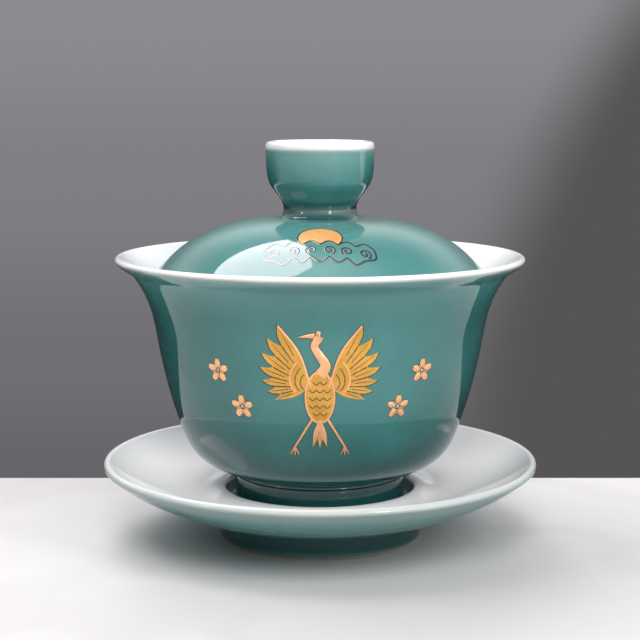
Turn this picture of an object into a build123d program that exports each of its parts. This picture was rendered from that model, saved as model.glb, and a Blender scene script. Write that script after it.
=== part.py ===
from build123d import *
from math import cos, radians, sin
import os

# Gaiwan: a lidded porcelain tea bowl on its saucer.
#
# Three loose pieces stack on one vertical axis: the saucer stands on the table, the bowl's foot
# stands in the saucer's well, and the lid rests inside the bowl's flared mouth. The lid's hollow
# knob is formed by itself and luted to a flat turned on top of the dome.
#
# Frame: millimetres, +Z up, origin on the axis at the underside of the saucer's foot ring.
# Every section is drawn on the XZ plane as (radius, height) and revolved about Z. Each rim is a
# round that the two faces of the wall run into, so a rim needs its radius and the wall's slope.

os.makedirs("parts", exist_ok=True)

# Overall sizes
SAUCER_DIAMETER = 105.0
SAUCER_HEIGHT = 19.5
BOWL_DIAMETER = 98.0
BOWL_TOP = 68.8
KNOB_DIAMETER = 26.0
OVERALL_HEIGHT = 95.9
RESTING_GAP = 0.05  # air between two pieces that rest on each other

# Saucer
SAUCER_LIP_RADIUS = 1.0
SAUCER_RIM_SLOPE = 41.0
SAUCER_FOOT_RADIUS = 24.4  # at the table; the ring spreads towards the dish
SAUCER_FOOT_SPREAD = 0.7
SAUCER_FOOT_WIDTH = 3.0
SAUCER_BASE_HEIGHT = 5.6  # underside of the dish, inside and outside the foot ring
WELL_RADIUS = 22.7
WELL_FLOOR = 8.6
WELL_RIDGE_RADIUS = 24.3
WELL_RIDGE_HEIGHT = 12.7
DISH_LOW_RADIUS = 29.5
DISH_LOW_HEIGHT = 11.9

# Bowl
BOWL_LIP_RADIUS = 0.85
BOWL_RIM_SLOPE = 39.0
BOWL_FOOT_RADIUS = 20.5
BOWL_FOOT_WIDTH = 2.8
BOWL_FOOT_BOTTOM = WELL_FLOOR + RESTING_GAP
BOWL_RECESS_HEIGHT = 15.4  # underside of the base, inside the foot ring
BOWL_GROOVE_BOTTOM = 15.5  # a shallow groove turned where the foot meets the belly
BOWL_GROOVE_DEPTH = 0.4
BELLY_BOTTOM_RADIUS = 21.0
BELLY_BOTTOM_HEIGHT = 16.6
BOWL_FLOOR = 18.4
SEAT_RADIUS = 40.6  # where the lid's edge touches the inside of the flare
SEAT_HEIGHT = 61.5
SEAT_SLOPE = 58.0

# Lid
LID_LIP_RADIUS = 1.05
LID_EDGE_SLOPE = 66.0
DOME_TOP = 77.8
DOME_INSIDE_TOP = 75.3
KNOB_SEAT_RADIUS = 9.8

# Knob
KNOB_LIP_RADIUS = 1.1
KNOB_NECK_RADIUS = 8.75
KNOB_NECK_HEIGHT = 79.7
KNOB_BORE_FLOOR = 81.0

# Rounds on the unglazed rings that each piece stands on
FOOT_ROUND = 0.9


def direction(degrees):
    """Unit vector in a section, at an angle above the outward direction."""
    return (cos(radians(degrees)), sin(radians(degrees)))


# Saucer: a shallow dish on a foot ring, with a ridged well that locates the bowl's foot.
saucer_edge = SAUCER_DIAMETER / 2
saucer_foot_inner = SAUCER_FOOT_RADIUS - SAUCER_FOOT_WIDTH
with BuildPart() as saucer:
    with BuildSketch(Plane.XZ):
        with BuildLine():
            lip = CenterArc(
                (saucer_edge - SAUCER_LIP_RADIUS, SAUCER_HEIGHT - SAUCER_LIP_RADIUS),
                SAUCER_LIP_RADIUS,
                SAUCER_RIM_SLOPE - 90,
                180,
            )
            Spline(
                (SAUCER_FOOT_RADIUS + SAUCER_FOOT_SPREAD, SAUCER_BASE_HEIGHT),
                (33.0, 7.6),
                (42.0, 11.3),
                lip @ 0,
                tangents=[direction(14), direction(SAUCER_RIM_SLOPE)],
            )
            dish = Spline(
                lip @ 1,
                (40.0, 13.5),
                (DISH_LOW_RADIUS, DISH_LOW_HEIGHT),
                tangents=[direction(180 + SAUCER_RIM_SLOPE), direction(180)],
            )
            ridge = Spline(
                dish @ 1,
                (26.6, 12.3),
                (WELL_RIDGE_RADIUS, WELL_RIDGE_HEIGHT),
                tangents=[direction(180), direction(180)],
            )
            well_edge = Spline(
                ridge @ 1,
                (WELL_RADIUS, WELL_RIDGE_HEIGHT - 1.8),
                tangents=[direction(180), direction(270)],
            )
            Polyline(
                well_edge @ 1,
                (WELL_RADIUS, WELL_FLOOR),
                (0, WELL_FLOOR),
                (0, SAUCER_BASE_HEIGHT),
                (saucer_foot_inner, SAUCER_BASE_HEIGHT),
                (saucer_foot_inner, 0),
                (SAUCER_FOOT_RADIUS, 0),
                (SAUCER_FOOT_RADIUS + SAUCER_FOOT_SPREAD, SAUCER_BASE_HEIGHT),
            )
        make_face()
    revolve(axis=Axis.Z)
    fillet(saucer.edges().group_by(Axis.Z)[0], FOOT_ROUND)

# Bowl: a deep cup with a flared mouth on a tall foot ring.
bowl_edge = BOWL_DIAMETER / 2
bowl_foot_inner = BOWL_FOOT_RADIUS - BOWL_FOOT_WIDTH
with BuildPart() as bowl:
    with BuildSketch(Plane.XZ):
        with BuildLine():
            lip = CenterArc(
                (bowl_edge - BOWL_LIP_RADIUS, BOWL_TOP - BOWL_LIP_RADIUS),
                BOWL_LIP_RADIUS,
                BOWL_RIM_SLOPE - 90,
                180,
            )
            Spline(
                (BELLY_BOTTOM_RADIUS, BELLY_BOTTOM_HEIGHT),
                (25.2, 18.0),
                (30.4, 21.5),
                (33.9, 28.5),
                (36.8, 38.0),
                (39.3, 50.0),
                (41.9, 59.5),
                (45.2, 64.8),
                lip @ 0,
                tangents=[direction(18), direction(BOWL_RIM_SLOPE)],
            )
            flare = Spline(
                lip @ 1,
                (SEAT_RADIUS, SEAT_HEIGHT),
                tangents=[direction(180 + BOWL_RIM_SLOPE), direction(180 + SEAT_SLOPE)],
            )
            inside = Spline(
                flare @ 1,
                (36.9, 50.0),
                (34.5, 38.0),
                (28.3, 24.6),
                (14.0, 18.9),
                (0, BOWL_FLOOR),
                tangents=[direction(180 + SEAT_SLOPE), direction(180)],
            )
            Polyline(
                inside @ 1,
                (0, BOWL_RECESS_HEIGHT),
                (bowl_foot_inner, BOWL_RECESS_HEIGHT),
                (bowl_foot_inner, BOWL_FOOT_BOTTOM),
                (BOWL_FOOT_RADIUS, BOWL_FOOT_BOTTOM),
                (BOWL_FOOT_RADIUS, BOWL_GROOVE_BOTTOM),
            )
            groove_middle = (BOWL_GROOVE_BOTTOM + BELLY_BOTTOM_HEIGHT) / 2
            ThreePointArc(
                (BOWL_FOOT_RADIUS, BOWL_GROOVE_BOTTOM),
                (BOWL_FOOT_RADIUS - BOWL_GROOVE_DEPTH, groove_middle),
                (BELLY_BOTTOM_RADIUS, BELLY_BOTTOM_HEIGHT),
            )
        make_face()
    revolve(axis=Axis.Z)
    fillet(bowl.edges().group_by(Axis.Z)[0], FOOT_ROUND)

# Lid: a thin dome whose rounded edge rests on the seat inside the bowl's flare.
seat_reach = LID_LIP_RADIUS + RESTING_GAP
lid_lip_centre = (
    SEAT_RADIUS - seat_reach * sin(radians(SEAT_SLOPE)),
    SEAT_HEIGHT + seat_reach * cos(radians(SEAT_SLOPE)),
)
with BuildPart() as lid:
    with BuildSketch(Plane.XZ):
        with BuildLine():
            lip = CenterArc(lid_lip_centre, LID_LIP_RADIUS, 90 - LID_EDGE_SLOPE, -180)
            Spline(
                (KNOB_SEAT_RADIUS, DOME_TOP),
                (21.0, 76.4),
                (32.0, 71.6),
                (38.0, 66.4),
                lip @ 0,
                tangents=[direction(0), direction(-LID_EDGE_SLOPE)],
            )
            inside = Spline(
                lip @ 1,
                (33.6, 67.6),
                (21.0, 73.7),
                (0, DOME_INSIDE_TOP),
                tangents=[direction(180 - LID_EDGE_SLOPE), direction(180)],
            )
            Polyline(inside @ 1, (0, DOME_TOP), (KNOB_SEAT_RADIUS, DOME_TOP))
        make_face()
    revolve(axis=Axis.Z)

# Knob: a small flaring cup on a waisted neck, open at the top, held when the lid is lifted.
knob_edge = KNOB_DIAMETER / 2
with BuildPart() as lid_knob:
    with BuildSketch(Plane.XZ):
        with BuildLine():
            lip = CenterArc(
                (knob_edge - KNOB_LIP_RADIUS, OVERALL_HEIGHT - KNOB_LIP_RADIUS),
                KNOB_LIP_RADIUS,
                0,
                180,
            )
            Spline(
                (KNOB_SEAT_RADIUS, DOME_TOP),
                (KNOB_NECK_RADIUS, KNOB_NECK_HEIGHT),
                (10.0, 83.0),
                (11.9, 85.6),
                (12.75, 89.0),
                lip @ 0,
                tangents=[direction(150), direction(90)],
                tangent_scalars=[1, 0.5],
            )
            inside = Spline(
                lip @ 1,
                (10.5, 88.5),
                (7.2, 82.6),
                (0, KNOB_BORE_FLOOR),
                tangents=[direction(270), direction(180)],
            )
            Polyline(inside @ 1, (0, DOME_TOP), (KNOB_SEAT_RADIUS, DOME_TOP))
        make_face()
    revolve(axis=Axis.Z)

saucer.part.label = "saucer"
export_step(saucer.part, "parts/saucer.step")
bowl.part.label = "bowl"
export_step(bowl.part, "parts/bowl.step")
lid.part.label = "lid"
export_step(lid.part, "parts/lid.step")
lid_knob.part.label = "lid_knob"
export_step(lid_knob.part, "parts/lid_knob.step")
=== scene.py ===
from math import atan2, ceil, cos, degrees, hypot, pi, radians, sin

import bpy
import numpy as np
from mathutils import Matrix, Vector
from mathutils.geometry import delaunay_2d_cdt


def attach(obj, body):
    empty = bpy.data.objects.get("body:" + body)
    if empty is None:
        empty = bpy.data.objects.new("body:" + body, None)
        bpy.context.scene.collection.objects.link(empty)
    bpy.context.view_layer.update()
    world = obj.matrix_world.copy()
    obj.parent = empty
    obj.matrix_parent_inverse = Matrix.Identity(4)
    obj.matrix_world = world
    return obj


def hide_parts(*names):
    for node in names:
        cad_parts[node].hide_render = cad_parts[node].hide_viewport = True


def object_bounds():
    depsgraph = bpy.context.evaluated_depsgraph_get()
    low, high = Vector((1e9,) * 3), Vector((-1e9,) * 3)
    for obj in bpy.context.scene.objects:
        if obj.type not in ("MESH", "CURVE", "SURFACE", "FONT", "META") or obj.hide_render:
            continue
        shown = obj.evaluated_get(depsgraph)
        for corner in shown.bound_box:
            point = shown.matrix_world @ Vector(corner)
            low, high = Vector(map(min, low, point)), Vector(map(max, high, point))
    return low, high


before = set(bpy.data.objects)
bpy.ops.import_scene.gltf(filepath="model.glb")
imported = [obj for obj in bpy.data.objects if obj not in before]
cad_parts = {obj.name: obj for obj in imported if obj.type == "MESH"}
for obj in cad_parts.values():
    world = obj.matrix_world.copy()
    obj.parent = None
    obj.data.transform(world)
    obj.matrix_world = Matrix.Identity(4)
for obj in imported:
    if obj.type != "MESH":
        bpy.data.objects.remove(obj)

# Gaiwan: glaze, decoration, table and light around the imported saucer, bowl, lid and knob.
#
# Each porcelain piece is turned again from its CAD section at a finer pitch, with the sharp turned
# corners softened as glaze softens them, and with the glaze's thickness kept on every vertex; on
# the saucer and the bowl that thickness also holds painted shade. The decoration is low enamel
# relief laid on the glaze, and is drawn in mm. Everything else is in metres. The front faces -Y.

cad_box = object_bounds()

MM = 0.001


# ---------------------------------------------------------------------------------------------
# Node materials
# ---------------------------------------------------------------------------------------------

class Nodes:
    """A material's or world's node tree with short calls to add and join nodes."""

    def __init__(self, tree):
        self.tree = tree
        tree.nodes.clear()

    def put(self, value, socket):
        if isinstance(value, bpy.types.NodeSocket):
            self.tree.links.new(value, socket)
        else:
            socket.default_value = value

    def add(self, kind, inputs=None, **settings):
        node = self.tree.nodes.new(kind)
        for key, value in settings.items():
            setattr(node, key, value)
        for key, value in (inputs or {}).items():
            self.put(value, node.inputs[key])
        return node

    def math(self, operation, a, b=0.0, c=0.0):
        return self.add("ShaderNodeMath", {0: a, 1: b, 2: c}, operation=operation).outputs[0]

    def step(self, value, low, high, out_low=0.0, out_high=1.0):
        """Smooth step of value from low to high."""
        inputs = {"Value": value, "From Min": low, "From Max": high}
        inputs.update({"To Min": out_low, "To Max": out_high})
        node = self.add("ShaderNodeMapRange", inputs, interpolation_type="SMOOTHSTEP")
        return node.outputs[0]

    def mix(self, factor, a, b, blend="MIX"):
        """Colour a at factor 0 to colour b at factor 1."""
        node = self.add("ShaderNodeMix", data_type="RGBA", blend_type=blend)
        for value, index in ((factor, 0), (a, 6), (b, 7)):
            self.put(value, node.inputs[index])
        return node.outputs[2]

    def noise(self, place, scale, detail=2.0, roughness=0.5):
        inputs = {"Vector": place, "Scale": scale, "Detail": detail, "Roughness": roughness}
        return self.add("ShaderNodeTexNoise", inputs).outputs["Fac"]

    def ramp(self, value, stops, interpolation="EASE"):
        """Colour ramp; each stop is (position, colour) or (position, grey)."""
        node = self.add("ShaderNodeValToRGB", {0: value})
        ramp = node.color_ramp
        ramp.interpolation = interpolation
        while len(ramp.elements) < len(stops):
            ramp.elements.new(1.0)
        for element, (position, colour) in zip(ramp.elements, stops):
            element.position = position
            grey = isinstance(colour, float)
            element.color = (colour, colour, colour, 1) if grey else (*colour, 1)
        return node.outputs["Color"]

    def bump(self, height, distance, normal=None):
        inputs = {"Height": height, "Distance": distance, "Strength": 1.0}
        if normal is not None:
            inputs["Normal"] = normal
        return self.add("ShaderNodeBump", inputs).outputs[0]


def new_material(name):
    material = bpy.data.materials.new(name)
    material.use_nodes = True
    return material, Nodes(material.node_tree)


def finish_material(nodes, **inputs):
    """Principled surface; underscores in the names stand for spaces."""
    named = {key.replace("_", " "): value for key, value in inputs.items()}
    shader = nodes.add("ShaderNodeBsdfPrincipled", named)
    nodes.add("ShaderNodeOutputMaterial", {"Surface": shader.outputs[0]})


# Glaze colour against thickness: bare white porcelain, thin celadon greyed with painted shade,
# teal, pooled dark teal.
COAT_FULL = 1.5
COAT_AND_SHADE_COLOURS = [
    (0.00, (0.90, 0.89, 0.91)),
    # painted shade: this thin stop is a darker, neutral grey that stands for white glaze in shade
    # under the saucer's rim
    (0.10, (0.62, 0.655, 0.63)),
    (0.26, (0.275, 0.385, 0.365)),
    (0.45, (0.115, 0.305, 0.29)),
    (0.67, (0.052, 0.225, 0.215)),
    (1.00, (0.015, 0.092, 0.088)),
]
COAT_CLOUD = 0.30  # how much the thickness wanders over about 2 cm, as a share of it
COAT_MOTTLE = 0.10  # the same over a mm or two
SLANT_SHARE = 0.32  # at a grazing view the way through the glaze is 1 / (1 - this) times as long
BISCUIT = (0.50, 0.38, 0.29)
GRAIN_COLOUR = (0.10, 0.08, 0.06)
GLAZE_IOR = 1.56


def glaze_material(name):
    """Clear, hard porcelain glaze over white, coloured by the vertex attribute 'coat', which holds
    the glaze's thickness and, on the saucer and the bowl, painted shade.
    """
    material, n = new_material(name)
    place = n.add("ShaderNodeTexCoord").outputs["Object"]
    coat = n.add("ShaderNodeAttribute", attribute_name="coat").outputs["Fac"]
    bare = n.add("ShaderNodeAttribute", attribute_name="bare").outputs["Fac"]

    # the glaze runs slightly thicker and thinner as it was dipped, in clouds and in fine mottle
    cloud = n.math("SUBTRACT", n.noise(place, 55.0, 2.0), 0.5)
    mottle = n.math("SUBTRACT", n.noise(place, 650.0, 3.0, 0.6), 0.5)
    cloud = n.math("MULTIPLY", cloud, COAT_CLOUD)
    uneven = n.math("ADD", cloud, n.math("MULTIPLY", mottle, COAT_MOTTLE))
    thick = n.math("MULTIPLY", coat, n.math("ADD", uneven, 1.0))

    # at a slant the light goes a longer way through the coloured glaze, so edges look deeper
    facing = n.add("ShaderNodeLayerWeight", {"Blend": 0.5}).outputs["Facing"]
    straight = n.math("SUBTRACT", 1.0, facing)
    slant = n.math("SUBTRACT", 1.0, n.math("MULTIPLY", straight, straight))
    path = n.math("DIVIDE", 1.0, n.math("SUBTRACT", 1.0, n.math("MULTIPLY", slant, SLANT_SHARE)))
    thick = n.math("MULTIPLY", thick, path)
    colour = n.ramp(n.math("DIVIDE", thick, COAT_FULL), COAT_AND_SHADE_COLOURS, "LINEAR")

    # grains of iron and fine pinholes that every fired glaze has a few of
    grains = n.add("ShaderNodeTexVoronoi", {"Vector": place, "Scale": 330.0}).outputs["Distance"]
    rare = n.step(n.noise(place, 90.0, 0.0), 0.62, 0.70)
    speck = n.math("MULTIPLY", n.step(grains, 0.05, 0.02), rare)
    colour = n.mix(n.math("MULTIPLY", speck, 0.35), colour, (*GRAIN_COLOUR, 1))

    # the unglazed ring that the piece was fired on
    clay = n.noise(place, 1800.0, 4.0, 0.7)
    stained = tuple(0.72 * c for c in BISCUIT)
    worn = n.mix(n.step(clay, 0.35, 0.7), (*BISCUIT, 1), (*stained, 1))
    colour = n.mix(bare, colour, worn)

    polish = n.step(n.noise(place, 140.0, 4.0, 0.65), 0.35, 0.75, 0.035, 0.075)
    rough = n.math("ADD", polish, n.math("MULTIPLY", bare, 0.65))
    swell = n.bump(n.noise(place, 38.0, 1.0), 0.10 * MM)
    peel = n.bump(n.noise(place, 420.0, 1.0), 0.006 * MM, swell)
    grain = n.math("MULTIPLY", clay, bare)
    pits = n.bump(n.math("SUBTRACT", grain, n.math("MULTIPLY", speck, 0.4)), 0.05 * MM, peel)
    finish_material(n, Base_Color=colour, Roughness=rough, IOR=GLAZE_IOR, Normal=pits)
    return material


def enamel_material(name, colours, metallic, roughness, relief=0.012):
    """Fired overglaze enamel or lustre: slightly uneven, with a brushed-on grain."""
    material, n = new_material(name)
    place = n.add("ShaderNodeTexCoord").outputs["Object"]
    brushed = n.noise(place, 900.0, 4.0, 0.7)
    washed = n.noise(place, 160.0, 2.0)
    blend = n.math("ADD", n.math("MULTIPLY", brushed, 0.5), n.math("MULTIPLY", washed, 0.5))
    dark, light = colours
    colour = n.mix(n.step(blend, 0.3, 0.7), (*dark, 1), (*light, 1))
    rough = n.step(brushed, 0.3, 0.7, roughness * 0.75, roughness * 1.25)
    bump = n.bump(brushed, relief * MM)
    finish_material(n, Base_Color=colour, Metallic=metallic, Roughness=rough, Normal=bump)
    return material


GLAZE = glaze_material("porcelain_glaze")
# each enamel: name, its two colours, metallic share, roughness and, last, grain relief in mm
GOLD = enamel_material("mustard_gold", ((0.62, 0.320, 0.058), (0.82, 0.455, 0.098)), 0.9, 0.42)
ROSE = enamel_material("rose_gold", ((0.93, 0.46, 0.22), (0.99, 0.57, 0.30)), 0.9, 0.36)
SUN = enamel_material("sun_orange", ((0.68, 0.32, 0.085), (0.73, 0.37, 0.11)), 0.0, 0.35, 0.004)
DARK = enamel_material("dark_line", ((0.020, 0.045, 0.040), (0.035, 0.060, 0.050)), 0.0, 0.3)
LUSTRE = enamel_material("cloud_lustre", ((0.098, 0.098, 0.094), (0.112, 0.112, 0.106)),
                         1.0, 0.10, 0.001)


# ---------------------------------------------------------------------------------------------
# Turned porcelain
# ---------------------------------------------------------------------------------------------

TURN_STEPS = 256
CORNER = 0.22 * MM  # round that the glaze leaves on a turned corner
CORNER_ANGLE = radians(24)
BARE_RISE = 0.75 * MM  # height of the unglazed ring above what the piece stands on
BARE_STEP = 0.10 * MM  # thickness of glaze, missing there


def section(node):
    """A CAD node's section in the half plane y = 0, x >= 0: (radius, height) points in order.

    The node is a body of revolution whose seam lies in that half plane, so its mesh has edges
    there. Flat faces round the axis have none and are closed here.
    """
    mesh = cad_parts[node].data
    near = 1e-7
    key = {}
    for vertex in mesh.vertices:
        x, y, z = vertex.co
        if abs(y) < near and x > -near:
            key[vertex.index] = (round(x, 7), round(z, 7))
    links = {}
    for edge in mesh.edges:
        a, b = (key.get(i) for i in edge.vertices)
        if a and b and a != b:
            links.setdefault(a, set()).add(b)
            links.setdefault(b, set()).add(a)
    ends = sorted(point for point, others in links.items() if len(others) == 1)
    start = max(ends, key=lambda point: point[1])
    chain = [start]
    before = None
    while True:
        onward = [point for point in links[chain[-1]] if point != before]
        if not onward:
            break
        before = chain[-1]
        chain.append(onward[0])
    if chain[0][0] > near:
        chain.insert(0, (0.0, chain[0][1]))
    if chain[-1][0] > near:
        chain.append((0.0, chain[-1][1]))
    return np.array(chain)


def turning(points):
    """Angle the outline turns through at each inner point."""
    along = np.diff(points, axis=0)
    heading = np.unwrap(np.arctan2(along[:, 1], along[:, 0]))
    return np.concatenate([[0.0], np.diff(heading), [0.0]])


def soften(points):
    """Rounds the sharp corners of an outline, as glaze does."""
    turns = turning(points)
    out = []
    for i, point in enumerate(points):
        if abs(turns[i]) < CORNER_ANGLE:
            out.append(point)
            continue
        back = points[i - 1] - point
        ahead = points[i + 1] - point
        reach = min(CORNER, 0.4 * np.hypot(*back), 0.4 * np.hypot(*ahead))
        a = point + back / np.hypot(*back) * reach
        b = point + ahead / np.hypot(*ahead) * reach
        for t in np.linspace(0, 1, 6):
            out.append(a * (1 - t) ** 2 + point * 2 * t * (1 - t) + b * t * t)
    return np.array(out)


def fill_in(points, longest=0.6 * MM):
    """Adds points on a smooth curve through the outline where it is sparse, and on straights."""
    out = [points[0]]
    last = len(points) - 1
    for i in range(last):
        a, b = points[i], points[i + 1]
        length = np.hypot(*(b - a))
        before = points[i - 1] if i > 0 else a
        after = points[i + 2] if i + 2 <= last else b
        parts = max(1, ceil(length / longest))
        # a neighbour much farther away than this stretch is long belongs to a straight
        start = (b - before) / max(np.hypot(*(b - before)), 1e-12) * length
        end = (after - a) / max(np.hypot(*(after - a)), 1e-12) * length
        for k in range(1, parts):
            t = k / parts
            h1, h2 = 2 * t**3 - 3 * t**2 + 1, t**3 - 2 * t**2 + t
            h3, h4 = -2 * t**3 + 3 * t**2, t**3 - t**2
            out.append(a * h1 + start * h2 + b * h3 + end * h4)
        out.append(b)
    return np.array(out)


def smooth_step(value, low, high):
    t = np.clip((value - low) / (high - low), 0, 1)
    return t * t * (3 - 2 * t)


class Outline:
    """A piece's section with arc lengths and the point where its rim is highest."""

    def __init__(self, node):
        self.points = fill_in(soften(section(node)))
        self.r, self.z = self.points.T
        steps = np.hypot(*np.diff(self.points, axis=0).T)
        self.arc = np.concatenate([[0.0], np.cumsum(steps)])

    def widest(self):
        return int(self.r.argmax())

    def top(self):
        """Highest point away from the axis."""
        return int(np.where(self.r > 0.3 * self.r.max(), self.z, -1).argmax())


def turned(name, outline, coat, bare, body):
    """A body of revolution with the glaze's thickness, with painted shade in it on the saucer and
    the bowl, and the bare clay on its vertices.
    """
    on_axis = outline.r < 1e-6
    vertices, coats, bares, rings = [], [], [], []
    for (r, z), c, b, axis in zip(outline.points, coat, bare, on_axis):
        count = 1 if axis else TURN_STEPS
        rings.append([len(vertices) + k for k in range(count)])
        for k in range(count):
            angle = 2 * pi * k / TURN_STEPS
            vertices.append((r * cos(angle), r * sin(angle), z))
        coats += [c] * count
        bares += [b] * count
    faces = []
    for a, b in zip(rings, rings[1:]):
        for k in range(TURN_STEPS):
            following = (k + 1) % TURN_STEPS
            if len(a) == 1 and len(b) == 1:
                break
            if len(a) == 1:
                faces.append((a[0], b[k], b[following]))
            elif len(b) == 1:
                faces.append((a[k], b[0], a[following]))
            else:
                faces.append((a[k], b[k], b[following], a[following]))
    piece = mesh_object(name, vertices, faces, GLAZE)
    for attribute, values in (("coat", coats), ("bare", bares)):
        layer = piece.data.attributes.new(attribute, "FLOAT", "POINT")
        layer.data.foreach_set("value", np.array(values, np.float32))
    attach(piece, body)
    return piece


def mesh_object(name, vertices, faces, material, sharp=None):
    """A smooth-shaded mesh whose faces all point outwards."""
    mesh = bpy.data.meshes.new(name)
    mesh.from_pydata([tuple(v) for v in vertices], [], [tuple(int(i) for i in f) for f in faces])
    mesh.validate()
    volume = 0.0
    for polygon in mesh.polygons:
        volume += polygon.center.dot(polygon.normal) * polygon.area
    if volume < 0:
        mesh.flip_normals()
    mesh.polygons.foreach_set("use_smooth", [True] * len(mesh.polygons))
    if sharp is not None:
        mesh.set_sharp_from_angle(angle=sharp)
    mesh.materials.append(material)
    piece = bpy.data.objects.new(name, mesh)
    bpy.context.scene.collection.objects.link(piece)
    return piece


def bare_ring(outline):
    """1 on the unglazed standing ring, and the glaze's thickness taken off the section there."""
    foot = outline.z < outline.z.min() + BARE_RISE
    low = smooth_step(outline.z, outline.z.min() + BARE_RISE, outline.z.min() + BARE_RISE * 0.8)
    middle = outline.r[foot].mean()
    inward = np.where(outline.r > middle, -1.0, 1.0)
    outline.points[:, 0] += low * inward * BARE_STEP
    outline.r = outline.points[:, 0]
    return low


def layers(distance, amounts):
    """Glaze thickness, with painted shade in it on the saucer and the bowl, summed from layers:
    (amount, where it starts, where it is full), in mm.
    """
    return sum(amount * smooth_step(distance, start * MM, full * MM)
               for amount, start, full in amounts)


# Layers of glaze, with painted shade on the saucer's underside, on the saucer's foot and on the
# bowl's lower wall, and a painted reflection at the base of the saucer's foot. The saucer's
# underside layers, the bowl's wall, the lid's edge and its run start go by the way along the
# surface from the rim; the saucer's foot, the bowl's pooled and shaded layers and the knob's neck
# by the height; the lid's run down and near-knob layers by the distance from the axis.
# painted shade: these layers grey and darken the lip and the underside, partly thin celadon glaze
# and partly shade under the rim
SAUCER_UNDER_GLAZE_AND_SHADE = [(0.30, -2.0, 0.9), (0.20, 0.6, 8.0)]
# painted shade and reflection: the foot's dark teal is partly shade under the saucer, and its
# thinner base is a painted reflection of the table
SAUCER_FOOT_GLAZE_AND_SHADE = [(1.0, 0.3, 2.4)]
SAUCER_DISH_LOW = 5.4 * MM  # below this the outside of the saucer is its foot
BOWL_WALL = [(0.28, -0.4, 0.6), (0.28, 0.3, 2.4), (0.37, 2.0, 15.0)]
# painted shade: these layers darken the lower wall, partly with glaze gathered towards the foot and
# partly with painted shade
BOWL_POOLED_AND_SHADE = [(0.27, 42.0, 22.0), (0.26, 24.0, 15.5)]
LID_EDGE = [(0.53, 0.1, 1.6)]
LID_RUN_START = [(1.0, 0.1, 3.0)]
LID_RUN_DOWN = [(0.27, 13.0, 38.0)]
LID_NEAR_KNOB = [(0.20, 10.8, 9.9)]
KNOB_WALL = [(0.60, 2.0, 3.4), (0.25, 3.0, 9.0)]
KNOB_NECK = [(0.75, 82.6, 80.6)]


def make_saucer():
    """White above and pale celadon below, where the glaze is thin, greyed there with painted shade;
    the foot is darker, partly with painted shade, and lighter at its base with a painted reflection
    of the table.
    """
    outline = Outline("saucer")
    bare = bare_ring(outline)
    below = outline.arc - outline.arc[outline.widest()]
    if outline.z[0] < outline.z[-1]:
        below = -below
    on_foot = (below > 0) & (outline.z < SAUCER_DISH_LOW)
    coat = layers(below, SAUCER_UNDER_GLAZE_AND_SHADE) + np.where(on_foot, layers(outline.z, SAUCER_FOOT_GLAZE_AND_SHADE), 0.0)
    piece = turned("saucer_glazed", outline, coat, bare, "saucer")
    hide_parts("saucer")


def make_bowl():
    """White inside, teal outside, the glaze thin over the rim and thick round the foot, with
    painted shade darkening the lower wall.
    """
    outline = Outline("bowl")
    bare = bare_ring(outline)
    outside = outline.arc - outline.arc[outline.widest()]
    # painted shade: the low wall's extra thickness is partly glaze gathered there and partly
    # painted shade
    pooled_and_shade = np.where(outside > 0, layers(outline.z, BOWL_POOLED_AND_SHADE), 0.0)
    coat = layers(outside, BOWL_WALL) + pooled_and_shade
    piece = turned("bowl_glazed", outline, coat, bare, "bowl")
    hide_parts("bowl")
    return outline


def make_lid():
    """Teal dome, white inside, with a thin white edge where it rests in the bowl. The glaze is
    thicker where it ran down the dome and where it gathered round the knob."""
    outline = Outline("lid")
    edge = outline.widest()
    above = np.abs(outline.arc - outline.arc[edge])
    outside = np.arange(len(outline.r)) < edge
    if outline.z[:edge].mean() < outline.z[edge:].mean():
        outside = ~outside
    run_down = layers(outline.r, LID_RUN_DOWN) * layers(above, LID_RUN_START)
    coat = layers(above, LID_EDGE) + run_down + layers(outline.r, LID_NEAR_KNOB)
    coat = np.where(outside, coat, 0.0)
    piece = turned("lid_glazed", outline, coat, np.zeros_like(coat), "lid")
    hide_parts("lid")
    return outline


def make_knob():
    """Teal outside, white bore, with the broad white rim of a dipped and wiped lip."""
    outline = Outline("lid_knob")
    top = outline.top()
    down = outline.arc - outline.arc[top]
    neck = np.where(down > 0, layers(outline.z, KNOB_NECK), 0.0)
    coat = layers(down, KNOB_WALL) + neck
    piece = turned("lid_knob_glazed", outline, coat, np.zeros_like(coat), "lid")
    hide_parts("lid_knob")


# ---------------------------------------------------------------------------------------------
# Decoration laid on the glaze
# ---------------------------------------------------------------------------------------------

class BowlWall:
    """Places flat drawings on the bowl's outside: u runs round the wall from an azimuth, v is
    the height. The front is azimuth 0 and +u goes to the right."""

    def __init__(self, outline):
        start = outline.widest()
        r, z = outline.r[start:], outline.z[start:]
        keep = (z > 17 * MM) & (r > 21 * MM)
        self.z, self.r = z[keep][::-1], r[keep][::-1]

    def at(self, azimuth):
        def place(u, v, height):
            r = np.interp(v, self.z, self.r)
            span = 0.5 * MM
            slope = np.interp(v + span, self.z, self.r) - np.interp(v - span, self.z, self.r)
            slope /= 2 * span
            angle = radians(azimuth) + u / r
            out = height / hypot(1, slope)
            r, z = r + out, v - out * slope
            return Vector((r * sin(angle), -r * cos(angle), z))
        return place


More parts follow.
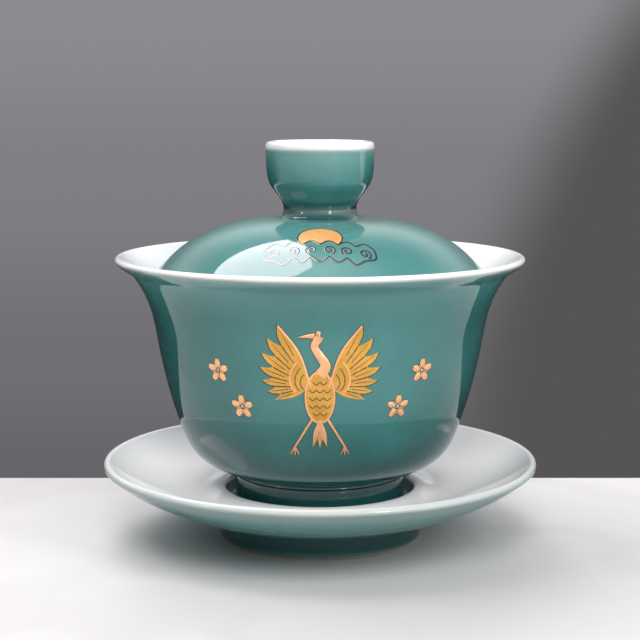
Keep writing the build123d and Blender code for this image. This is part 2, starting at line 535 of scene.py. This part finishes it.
class LidDome:
    """Places flat drawings on the dome, seen in plan: u to the right, v towards the front."""

    def __init__(self, outline):
        edge = outline.widest()
        parts = (slice(0, edge), slice(edge, None))
        outside = max(parts, key=lambda part: outline.z[part].mean())
        r, z = outline.r[outside], outline.z[outside]
        order = np.argsort(r)
        self.r, self.z = r[order], z[order]

    def place(self, u, v, height):
        r = hypot(u, v)
        span = 0.5 * MM
        slope = np.interp(r + span, self.r, self.z) - np.interp(r - span, self.r, self.z)
        slope /= 2 * span
        z = np.interp(r, self.r, self.z)
        out = height / hypot(1, slope)
        outward = Vector((u / r, -v / r, 0)) * (-slope * out)
        return Vector((u, -v, z + out)) + outward


def curve(points, spacing=0.25):
    """Points along a smooth curve (Catmull-Rom) through a few drawn points, in mm."""
    p = np.array(points, float)
    p = np.vstack([2 * p[0] - p[1], p, 2 * p[-1] - p[-2]])
    out = []
    for a, b, c, d in zip(p, p[1:], p[2:], p[3:]):
        parts = max(2, ceil(np.hypot(*(c - b)[:2]) / spacing))
        for k in range(parts):
            t = k / parts
            out.append(0.5 * (2 * b + (c - a) * t + (2 * a - 5 * b + 4 * c - d) * t * t
                              + (3 * b - a - 3 * c + d) * t**3))
    out.append(p[-2])
    return np.array(out)


class Relief:
    """Collects strokes and filled shapes of one enamel into one piece of low relief.

    Drawings are in mm. Every stroke or fill is a closed shell that starts just under the glaze's
    surface.
    """

    UNDER = -0.03  # height of a shell's underside
    # a stroke's section: (share of the half width, share of the height, or the underside)
    PROFILE = [(-1, UNDER), (-1, 0.5), (-0.8, 0.95), (0, 1), (0.8, 0.95), (1, 0.5), (1, UNDER)]
    LEAST_WIDTH = 0.06
    # a fine stroke is also lower: its share of the height is least + half width / run, up to 1
    LEAST_RISE = 0.35
    RISE_RUN = 0.25

    def __init__(self):
        self.vertices = []
        self.faces = []

    def shell(self, vertices, faces):
        first = len(self.vertices)
        self.vertices += vertices
        self.faces += [tuple(first + i for i in face) for face in faces]

    def stroke(self, place, points, width, height=0.10, spacing=0.25):
        """A rounded line through points; width is one number or one for each point."""
        points = np.array(points, float)
        widths = np.broadcast_to(np.array(width, float), len(points))
        path = curve(np.column_stack([points, widths]), spacing)
        along = np.gradient(path[:, :2], axis=0)
        along /= np.maximum(np.hypot(*along.T), 1e-9)[:, None]
        side = np.column_stack([-along[:, 1], along[:, 0]])
        profile = self.PROFILE
        vertices = []
        for (x, y, w), (sx, sy) in zip(path, side):
            half = max(w, self.LEAST_WIDTH) / 2
            rise = height * min(1.0, self.LEAST_RISE + half / self.RISE_RUN)
            for across, up in profile:
                level = up if up < 0 else up * rise
                u, v = x + sx * across * half, y + sy * across * half
                vertices.append(place(u * MM, v * MM, level * MM))
        count = len(profile)
        faces = []
        for i in range(len(path) - 1):
            for j in range(count):
                k = (j + 1) % count
                a, b = i * count, (i + 1) * count
                faces.append((a + j, b + j, b + k, a + k))
        faces.append(tuple(range(count)))
        last = (len(path) - 1) * count
        faces.append(tuple(last + j for j in reversed(range(count))))
        self.shell(vertices, faces)

    def fill(self, place, outline, height=0.05, pitch=0.9):
        """A filled shape with a flat top at one height above the glaze."""
        loop = np.array(outline, float)
        inside = hex_points(loop, pitch)
        flat = [Vector(p) for p in loop] + [Vector(p) for p in inside]
        edges = [(i, (i + 1) % len(loop)) for i in range(len(loop))]
        points, _, triangles = delaunay_2d_cdt(flat, edges, [], 1, 1e-6)[:3]
        count = len(points)
        vertices = [place(p.x * MM, p.y * MM, height * MM) for p in points]
        vertices += [place(p.x * MM, p.y * MM, self.UNDER * MM) for p in points]
        faces = [tuple(t) for t in triangles]
        faces += [tuple(count + i for i in reversed(t)) for t in triangles]
        # the wall round the shape stands on the edges that only one triangle has
        sides = dict.fromkeys((a, b) for t in triangles for a, b in zip(t, t[1:] + t[:1]))
        faces += [(b, a, count + a, count + b) for a, b in sides if (b, a) not in sides]
        self.shell(vertices, faces)

    def piece(self, name, material, body, slot):
        made = mesh_object(name, self.vertices, self.faces, material, sharp=radians(50))
        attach(made, body)
        return made


def is_inside(point, loop):
    x, y = point
    ahead = np.roll(loop, -1, axis=0)
    crosses = (loop[:, 1] > y) != (ahead[:, 1] > y)
    rise = np.where(ahead[:, 1] == loop[:, 1], 1e-12, ahead[:, 1] - loop[:, 1])
    at = loop[:, 0] + (y - loop[:, 1]) * (ahead[:, 0] - loop[:, 0]) / rise
    return (crosses & (x < at)).sum() % 2 == 1


def hex_points(loop, pitch):
    """Points of a hexagonal grid inside a closed loop and clear of it."""
    low, high = loop.min(0), loop.max(0)
    rows = int((high[1] - low[1]) / (pitch * 0.866))
    out = []
    for row in range(1, rows + 1):
        y = low[1] + row * pitch * 0.866
        for column in range(int((high[0] - low[0]) / pitch) + 1):
            x = low[0] + (column + 0.5 * (row % 2)) * pitch
            clear = np.hypot(*(loop - (x, y)).T).min() > 0.45 * pitch
            if clear and is_inside((x, y), loop):
                out.append((x, y))
    return out


def polar(centre, angle, length):
    return (centre[0] + length * cos(radians(angle)), centre[1] + length * sin(radians(angle)))


# The crane, in mm: u round the bowl from the front, v height above the table. It is a plain
# heraldic bird at the front, the same on both sides but for its head: an upright oval body, two
# even fans of feathers, a straight pair of legs and a short tail.
BIRD = (0.0, 41.0)  # the middle of the body
BODY_HALF_WIDTH = 3.2
BODY_HALF_HEIGHT = 6.0
WING_OUT = 2.0  # each wing's root, from the middle of the body
WING_UP = 2.5
FEATHERS = 7
FIRST_FEATHER = 62  # direction of the right wing's highest feather, in degrees
FEATHER_STEP = 14
LONGEST_FEATHER = 16.0
FEATHER_LOSS = 1.2  # each feather is this much shorter than the one above it
NOTCH_SHARE = 0.72  # how far out two feathers part
LOWER_BULGE = 0.10  # the feathers' lower sides are full and their upper sides slightly hollow
UPPER_HOLLOW = 0.04
LEADING_BULGE = 0.08
WING_LEVEL = 0.05
BODY_LEVEL = 0.07
SCALE = 1.6  # width of a scale on the body
SCALE_ROWS = 5
ROW_STEP = 1.8
TAIL_LENGTH = 6.5
TAIL_STEP = 14
LEG_LENGTH = 8.0
LEG_SPLAY = 30
TOE_LENGTH = 2.0
TOE_STEP = 28
NECK_LENGTH = 9.0
NECK_SWAY = 1.2


def wing_point(side, step, share):
    """A point of a wing: step counts feathers from the top, share is how far out it lies."""
    angle = FIRST_FEATHER - FEATHER_STEP * step
    if side < 0:
        angle = 180 - angle
    root = (BIRD[0] + side * WING_OUT, BIRD[1] + WING_UP)
    return polar(root, angle, (LONGEST_FEATHER - FEATHER_LOSS * step) * share)


def body_outline(count=48):
    """Points round the oval body."""
    turns = [2 * pi * k / count for k in range(count)]
    return np.array([(BIRD[0] + BODY_HALF_WIDTH * cos(turn), BIRD[1] + BODY_HALF_HEIGHT * sin(turn))
                     for turn in turns])


def bend(a, b, bulge):
    """Curve from a to b that bulges to the left of the way by a share of its length."""
    (ax, ay), (bx, by) = a, b
    middle = ((ax + bx) / 2 - (by - ay) * bulge, (ay + by) / 2 + (bx - ax) * bulge)
    return curve([a, middle, b])


EDGE = 0.16  # how far the dark edge of a rose stroke shows


def edged(rose, dark, place, points, width, height=0.12):
    """A rose stroke with a fine dark edge showing round it."""
    wider = np.array(width, float) + 2 * EDGE
    dark.stroke(place, points, wider, 0.045)
    rose.stroke(place, points, width, height)


def draw_wing(place, gold, rose, dark, side):
    """One fan of feathers with bands near its root; side is 1 on the right and -1 on the left."""
    root = wing_point(side, 0, 0)
    tips = [wing_point(side, i, 1.0) for i in range(FEATHERS)]
    leading = bend(root, tips[0], side * LEADING_BULGE)
    outline = [leading[:-1]]
    for i in range(FEATHERS - 1):
        notch = wing_point(side, i + 0.5, NOTCH_SHARE)
        lower = bend(tips[i], notch, side * LOWER_BULGE)
        upper = bend(notch, tips[i + 1], -side * UPPER_HOLLOW)
        outline += [lower[:-1], upper[:-1]]
        dark.stroke(place, lower[::3], 0.24, 0.09)
        dark.stroke(place, [notch, wing_point(side, i + 0.5, 0.42)], (0.30, 0.20), 0.10)
    last = bend(tips[-1], root, side * LOWER_BULGE)
    outline.append(last[:-1])
    wing = np.vstack(outline)
    gold.fill(place, wing if side < 0 else wing[::-1], WING_LEVEL)

    for i in range(FEATHERS):
        shaft = [wing_point(side, i, share) for share in (0.50, 0.70, 0.90)]
        dark.stroke(place, shaft, (0.22, 0.18, 0.10), 0.09)
    for share in (0.20, 0.30):
        band = [wing_point(side, 0.5 * k, share) for k in range(2 * FEATHERS - 1)]
        dark.stroke(place, band, 0.24, 0.09)
    band = [wing_point(side, 0.5 * k, 0.40) for k in range(2 * FEATHERS - 1)]
    rose.stroke(place, band, 0.36, 0.12)
    edged(rose, dark, place, leading[::4], 0.46, 0.13)


def draw_body(place, gold, rose, dark):
    """The oval body, with rows of rounded scales and a rose rim."""
    body = body_outline()
    gold.fill(place, body, BODY_LEVEL)
    for row in range(SCALE_ROWS):
        v = BIRD[1] + ROW_STEP * (row - 0.5 * (SCALE_ROWS - 1))
        share = (v - BIRD[1]) / BODY_HALF_HEIGHT
        reach = BODY_HALF_WIDTH * (1 - share ** 2) ** 0.5 - 0.6
        count = int(2 * reach / SCALE)
        for k in range(count):
            u = BIRD[0] + SCALE * (k - 0.5 * count)
            scale = [(u, v), (u + 0.5 * SCALE, v - 0.7), (u + SCALE, v)]
            dark.stroke(place, scale, 0.24, 0.12, 0.3)
    edged(rose, dark, place, np.vstack([body[::2], body[:1]]), 0.46, 0.15)


def draw_crane(wall):
    """A plain bird with both wings spread, its head turned to the left."""
    place = wall.at(0)
    gold, rose, dark = Relief(), Relief(), Relief()

    # tail and legs, under the body
    base = (BIRD[0], BIRD[1] - BODY_HALF_HEIGHT + 0.5)
    for k in (-1, 0, 1):
        angle = 270 + TAIL_STEP * k
        plume = [base, polar(base, angle, TAIL_LENGTH * 0.5), polar(base, angle, TAIL_LENGTH)]
        edged(rose, dark, place, plume, (0.6, 1.3, 0.12))
    for side in (-1, 1):
        hip = (BIRD[0] + side * 0.5 * BODY_HALF_WIDTH, base[1] + 0.5)
        foot = polar(hip, 270 + side * LEG_SPLAY, LEG_LENGTH)
        edged(rose, dark, place, [hip, foot], (0.60, 0.45))
        for k in (-1, 0, 1):
            toe = polar(foot, 270 + TOE_STEP * k, TOE_LENGTH)
            edged(rose, dark, place, [foot, toe], (0.45, 0.25))

    draw_wing(place, gold, rose, dark, 1)
    draw_wing(place, gold, rose, dark, -1)
    draw_body(place, gold, rose, dark)

    # neck, head and closed beak
    collar = BIRD[1] + BODY_HALF_HEIGHT - 1.0
    neck = [(BIRD[0] + NECK_SWAY * sin(pi * k / 2), collar + NECK_LENGTH * k / 4) for k in range(5)]
    edged(rose, dark, place, neck, (2.6, 2.2, 1.8, 1.6, 1.9), 0.17)
    u, v = neck[-1]
    edged(rose, dark, place, [(u, v), (u - 0.8, v + 0.1)], 2.3, 0.18)
    edged(rose, dark, place, [(u - 1.2, v + 0.1), (u - 3.0, v), (u - 4.8, v - 0.2)],
          (1.3, 0.8, 0.15), 0.16)
    dark.stroke(place, [(u - 0.4, v + 0.3), (u - 0.6, v + 0.3)], 0.45, 0.26)

    gold.piece("crane_feathers", GOLD, "bowl", "gold_enamel")
    rose.piece("crane_outline", ROSE, "bowl", "rose_gold_enamel")
    dark.piece("crane_feather_lines", DARK, "bowl", "cloud_lustre")


# Two blossoms on either side of the crane, the outer one higher
BLOSSOM_AZIMUTH = 28
BLOSSOM_HEIGHT = 38.0
BLOSSOM_STEP = 8  # degrees outwards and mm upwards


def draw_blossom(rose, dark, place, v, turn):
    """A five-petalled blossom with solid petals and a ring of stamens."""
    for k in range(5):
        angle = turn + 72 * k
        petal = [polar((0, v), angle, 0.75), polar((0, v), angle, 1.65), polar((0, v), angle, 2.65)]
        edged(rose, dark, place, petal, (0.45, 1.50, 0.95), 0.11)
        stamen = [polar((0, v), angle + 36, 0.55), polar((0, v), angle + 36, 1.5)]
        rose.stroke(place, stamen, (0.2, 0.34), 0.12)
    rose.stroke(place, [(-0.2, v), (0.2, v)], 0.6, 0.13)


def draw_marks(wall):
    """Two upright blossoms on either side of the crane."""
    rose, dark = Relief(), Relief()
    for side in (-1, 1):
        for k in range(2):
            place = wall.at(side * (BLOSSOM_AZIMUTH + BLOSSOM_STEP * k))
            draw_blossom(rose, dark, place, BLOSSOM_HEIGHT + BLOSSOM_STEP * k, 90)
    rose.piece("blossom_marks", ROSE, "bowl", "rose_gold_enamel")
    dark.piece("blossom_edges", DARK, "bowl", "rose_gold_enamel")


def scroll(eye, radius, start, turns):
    """A spiral that opens outwards from its eye, in mm in plan."""
    count = max(10, int(16 * abs(turns)))
    points = []
    for k in range(count + 1):
        share = k / count
        points.append(polar(eye, start + 360 * turns * share, radius * (0.14 + 0.86 * share**0.9)))
    return points


# The sky, in mm in plan: u to the right, v towards the front. An even bank of puffs crosses the
# sun 3 mm in front of its centre, where a circle of radius 5 is just two puffs of 4 mm wide.
SUN_CENTRE = (0.0, 25.0)
SUN_RADIUS = 5.0
PUFF = 4.0
PUFFS = 6
BANK_LEFT = SUN_CENTRE[0] - 0.5 * PUFF * PUFFS
BANK_TOP = SUN_CENTRE[1] + 3.0
BANK_DEPTH = 4.0
PUFF_BULGE = -0.35  # outwards, for a bank drawn clockwise as seen on the lid
SCROLL_RADIUS = 1.4
CLOUD_LINE = 0.46  # width
CLOUD_RISE = 0.03  # height above the glaze


def puffs(points, bulge):
    """One line of arcs that bulge between the given points."""
    arcs = [bend(a, b, bulge) for a, b in zip(points, points[1:])]
    return np.vstack([arc[:-1] for arc in arcs] + [arcs[-1][-1:]])


def draw_sky(dome):
    """A low sun half behind an even bank of scrolled clouds, on the front of the dome."""
    place = dome.place
    dip = degrees(atan2(BANK_TOP - SUN_CENTRE[1], PUFF))
    turn = 180 + 2 * dip
    over = [polar(SUN_CENTRE, dip - turn * k / 40, SUN_RADIUS) for k in range(41)]
    top = [(BANK_LEFT + PUFF * k, BANK_TOP) for k in range(PUFFS + 1)]
    hidden = [point for point in top if abs(point[0] - SUN_CENTRE[0]) <= PUFF]
    sun = Relief()
    sun.fill(place, np.vstack([over, puffs(hidden, PUFF_BULGE)[1:-1]]), 0.02)
    sun.piece("sun_disc", SUN, "lid", "sun_enamel")

    line = Relief()
    line.stroke(place, over, 0.34, CLOUD_RISE)
    bottom = [(u - PUFF / 2, v + BANK_DEPTH) for u, v in reversed(top[1:])]
    line.stroke(place, puffs(top + bottom + top[:1], PUFF_BULGE), CLOUD_LINE, CLOUD_RISE, 0.2)
    for k in range(PUFFS):
        eye = (BANK_LEFT + PUFF * (k + 0.5), BANK_TOP + 0.5 * BANK_DEPTH)
        turns = 1.4 if k % 2 else -1.4
        line.stroke(place, scroll(eye, SCROLL_RADIUS, 270, turns), CLOUD_LINE, CLOUD_RISE, 0.2)
    line.piece("cloud_lines", LUSTRE, "lid", "cloud_lustre")


# ---------------------------------------------------------------------------------------------
# Table, light and camera
# ---------------------------------------------------------------------------------------------

TABLE_BACK = 0.0595  # from the axis to the table's back edge
TABLE_FRONT = 2.5
TABLE_HALF = 1.6
TABLE_THICK = 0.030
TABLE_ROUND = 0.004


def make_table():
    """A pale, faintly veined stone slab whose back edge is just behind the saucer."""
    material, n = new_material("pale_stone")
    place = n.add("ShaderNodeTexCoord").outputs["Object"]
    drift = n.add("ShaderNodeTexNoise", {"Vector": place, "Scale": 6.0, "Detail": 3.0})
    warp = drift.outputs["Color"]
    bent = n.add("ShaderNodeVectorMath", {0: place, 1: warp}, operation="ADD").outputs[0]
    wavy = {"Vector": bent, "Scale": 1.6, "Distortion": 3.0, "Detail": 4.0}
    wave = n.add("ShaderNodeTexWave", wavy, bands_direction="DIAGONAL").outputs["Fac"]
    vein = n.step(wave, 0.86, 1.0)
    cloudy = n.noise(place, 9.0, 5.0, 0.6)
    colour = n.mix(n.step(cloudy, 0.3, 0.75), (0.700, 0.680, 0.690, 1), (0.655, 0.636, 0.648, 1))
    colour = n.mix(n.math("MULTIPLY", vein, 0.16), colour, (0.46, 0.44, 0.44, 1))
    grain = n.noise(place, 900.0, 3.0, 0.7)
    normal = n.bump(grain, 0.02 * MM)
    finish_material(n, Base_Color=colour, Roughness=0.55, Normal=normal)

    x, y0, y1, z = TABLE_HALF, -TABLE_FRONT, TABLE_BACK, -TABLE_THICK
    plan = [(-x, y0), (x, y0), (x, y1), (-x, y1)]
    corners = [(*point, level) for level in (z, 0.0) for point in plan]
    faces = [(0, 3, 2, 1), (4, 5, 6, 7), (0, 1, 5, 4), (1, 2, 6, 5), (2, 3, 7, 6), (3, 0, 4, 7)]
    table = mesh_object("table", corners, faces, material)
    bevel = table.modifiers.new("round", "BEVEL")
    bevel.width = TABLE_ROUND
    bevel.segments = 5
    table.modifiers.new("normals", "WEIGHTED_NORMAL")


# Light round the object. Azimuth 0 is towards the camera and 90 to the right; radiance 1 is the
# display's white. Level light comes mostly from the front and right; overhead light from above.
ENV_SCALE = 5.0
LEVEL_LIGHT = [(-180, 0.20), (-150, 0.24), (-122, 0.40), (-99, 0.60), (-88, 0.75), (-80, 1.40),
               (-42, 2.00), (-10, 2.40), (21, 3.50), (45, 4.30), (66, 3.40), (93, 2.30),
               (122, 0.95), (150, 0.35), (180, 0.20)]
RISING_LIGHT = [(0, 0.20), (7, 0.42), (15, 0.90), (25, 1.60), (33, 1.30), (43, 0.75), (53, 0.50),
                (63, 0.55), (75, 1.60), (90, 3.00)]
BELOW_LIGHT = 0.03
# small bright windows: azimuth, half width, lowest and highest elevation, radiance
PANELS = [(32, 3.5, 2, 26, 13.0), (-60, 3.0, 8, 22, 9.0)]
DIFFUSE_SHARE = 0.03


def backdrop_colour(n):
    """Grey paper, light at the top, darker towards the bottom and dark on the right."""
    window = n.add("ShaderNodeTexCoord").outputs["Window"]
    split = n.add("ShaderNodeSeparateXYZ", {0: window}).outputs
    rise = n.ramp(split["Y"], [(0.25, 0.132), (0.45, 0.165), (0.70, 0.215), (1.0, 0.268)])
    # the edge of the dark side leans to the right as it rises
    bow = n.math("MULTIPLY_ADD", split["Y"], 0.46, -0.207)
    edge = n.math("MULTIPLY_ADD", split["Y"], bow, 0.750)
    dark = n.step(n.math("SUBTRACT", split["X"], edge), -0.10, 0.09)
    tinted = n.mix(1.0, rise, (1.0, 0.972, 1.045, 1), "MULTIPLY")
    return n.mix(dark, tinted, (0.0925, 0.0905, 0.0885, 1))


def make_world():
    world = bpy.data.worlds.new("studio")
    bpy.context.scene.world = world
    world.use_nodes = True
    world.cycles.sampling_method = "NONE"
    n = Nodes(world.node_tree)
    direction = n.add("ShaderNodeTexCoord").outputs["Generated"]
    split = n.add("ShaderNodeSeparateXYZ", {0: direction}).outputs
    path = n.add("ShaderNodeLightPath").outputs

    azimuth = n.math("ARCTAN2", split["X"], n.math("MULTIPLY", split["Y"], -1.0))
    around = n.math("ADD", n.math("DIVIDE", azimuth, 2 * pi), 0.5)
    level = n.ramp(around, [(a / 360 + 0.5, v / ENV_SCALE) for a, v in LEVEL_LIGHT], "LINEAR")
    elevation = n.math("ARCSINE", split["Z"])
    up = n.math("DIVIDE", elevation, pi / 2)
    rising = n.ramp(up, [(e / 90, v / ENV_SCALE) for e, v in RISING_LIGHT], "LINEAR")
    above = n.step(up, 0.0, 0.45)
    sky = n.mix(above, level, rising)
    for centre, half, low_edge, high_edge, strength in PANELS:
        off = n.math("ABSOLUTE", n.math("SUBTRACT", azimuth, radians(centre)))
        inside = n.step(off, radians(half + 1), radians(half - 1))
        over = n.step(elevation, radians(low_edge - 1), radians(low_edge + 1))
        under = n.step(elevation, radians(high_edge + 1), radians(high_edge - 1))
        lit = n.math("MULTIPLY", inside, n.math("MULTIPLY", over, under))
        glare = (strength / ENV_SCALE,) * 3 + (1,)
        sky = n.mix(lit, sky, glare)
    # below the horizon behind the object the room is dark
    behind = n.step(split["Y"], 0.2, 0.5)
    below = n.math("MULTIPLY", n.step(up, -0.01, -0.05), behind)
    low = (BELOW_LIGHT / ENV_SCALE,) * 3 + (1,)
    sky = n.mix(below, sky, low)

    # matte surfaces get most of their light from the lamps, and only a share from the world
    share = n.step(path["Diffuse Depth"], 0.0, 0.5, 1.0, DIFFUSE_SHARE)
    strength = n.math("MULTIPLY", share, ENV_SCALE)
    light = n.add("ShaderNodeBackground", {"Color": sky, "Strength": strength}).outputs[0]
    paper = n.add("ShaderNodeBackground", {"Color": backdrop_colour(n)}).outputs[0]
    mixed = n.add("ShaderNodeMixShader", {0: path["Is Camera Ray"], 1: light, 2: paper})
    n.add("ShaderNodeOutputWorld", {"Surface": mixed.outputs[0]})


SOFTBOX_HEIGHT = 1.50  # above the knob
# corners of the softbox in plan, as shares of that height
SOFTBOX_SHAPE = [(-0.05, 0.04), (-0.09, 0.87), (-0.20, 0.885), (-0.49, 0.69), (-0.83, 0.515),
                 (-1.00, 0.32), (-0.60, -0.26), (-0.16, -0.08)]


def make_softbox(name, strength, colour, sees):
    """A soft light overhead, behind and to the left, that one kind of ray sees."""
    material, n = new_material(name)
    glow = n.add("ShaderNodeEmission", {"Color": (*colour, 1), "Strength": strength})
    n.add("ShaderNodeOutputMaterial", {"Surface": glow.outputs[0]})
    h = SOFTBOX_HEIGHT
    corners = [(x * h, y * h, h + cad_box[1].z) for x, y in SOFTBOX_SHAPE]
    mesh = bpy.data.meshes.new(name)
    mesh.from_pydata(corners, [], [tuple(range(len(corners)))])
    mesh.materials.append(material)
    box = bpy.data.objects.new(name, mesh)
    bpy.context.scene.collection.objects.link(box)
    box.visible_camera = False
    box.visible_transmission = False
    box.visible_shadow = False
    box.visible_diffuse = sees == "diffuse"
    box.visible_glossy = sees == "glossy"


# Soft lights without reflections of their own: name, azimuth, elevation, width, strength.
SOFT_LIGHTS = [
    ("light_top", 0, 85, 1.0, 0.08),
    ("light_midfront", 0, 45, 0.8, 0.37),
    ("light_front", 0, 32, 1.0, 0.15),
    ("light_frontright", 45, 35, 1.0, 0.51),
    ("light_farright", 80, 20, 0.8, 0.07),
    ("light_left", -90, 45, 1.0, 0.19),
    ("light_back", 180, 40, 1.0, 0.20),
]
LIGHT_DISTANCE = 1.6  # from the middle of the object


def make_soft_lights():
    target = (cad_box[0] + cad_box[1]) / 2
    for name, azimuth, elevation, width, strength in SOFT_LIGHTS:
        data = bpy.data.lights.new(name, "AREA")
        data.shape = "DISK"
        data.size = width
        data.energy = strength * pi * pi * LIGHT_DISTANCE**2
        light = bpy.data.objects.new(name, data)
        bpy.context.scene.collection.objects.link(light)
        a, e = radians(azimuth), radians(elevation)
        away = Vector((sin(a) * cos(e), -cos(a) * cos(e), sin(e)))
        light.location = target + away * LIGHT_DISTANCE
        light.rotation_mode = "QUATERNION"
        light.rotation_quaternion = away.to_track_quat("Z", "Y")
        light.visible_camera = False
        light.visible_glossy = False


CAMERA_PLACE = (0.0, -0.3833, 0.1077)
CAMERA_DOWN = radians(8.145)


def make_camera():
    data = bpy.data.cameras.new("camera")
    data.sensor_width = 36.0
    data.lens = 90.1
    data.clip_start, data.clip_end = 0.01, 20.0
    camera = bpy.data.objects.new("camera", data)
    bpy.context.scene.collection.objects.link(camera)
    camera.location = CAMERA_PLACE
    camera.rotation_euler = (pi / 2 - CAMERA_DOWN, 0, 0)
    bpy.context.scene.camera = camera


make_saucer()
bowl_outline = make_bowl()
lid_outline = make_lid()
make_knob()
bowl_wall = BowlWall(bowl_outline)
draw_crane(bowl_wall)
draw_marks(bowl_wall)
draw_sky(LidDome(lid_outline))
make_table()
make_world()
make_softbox("softbox_reflection", 9.1, (1.0, 0.90, 0.94), "glossy")
make_softbox("softbox_light", 3.5, (1.0, 0.99, 1.0), "diffuse")
make_soft_lights()
make_camera()
bpy.context.scene.view_settings.view_transform = "Standard"
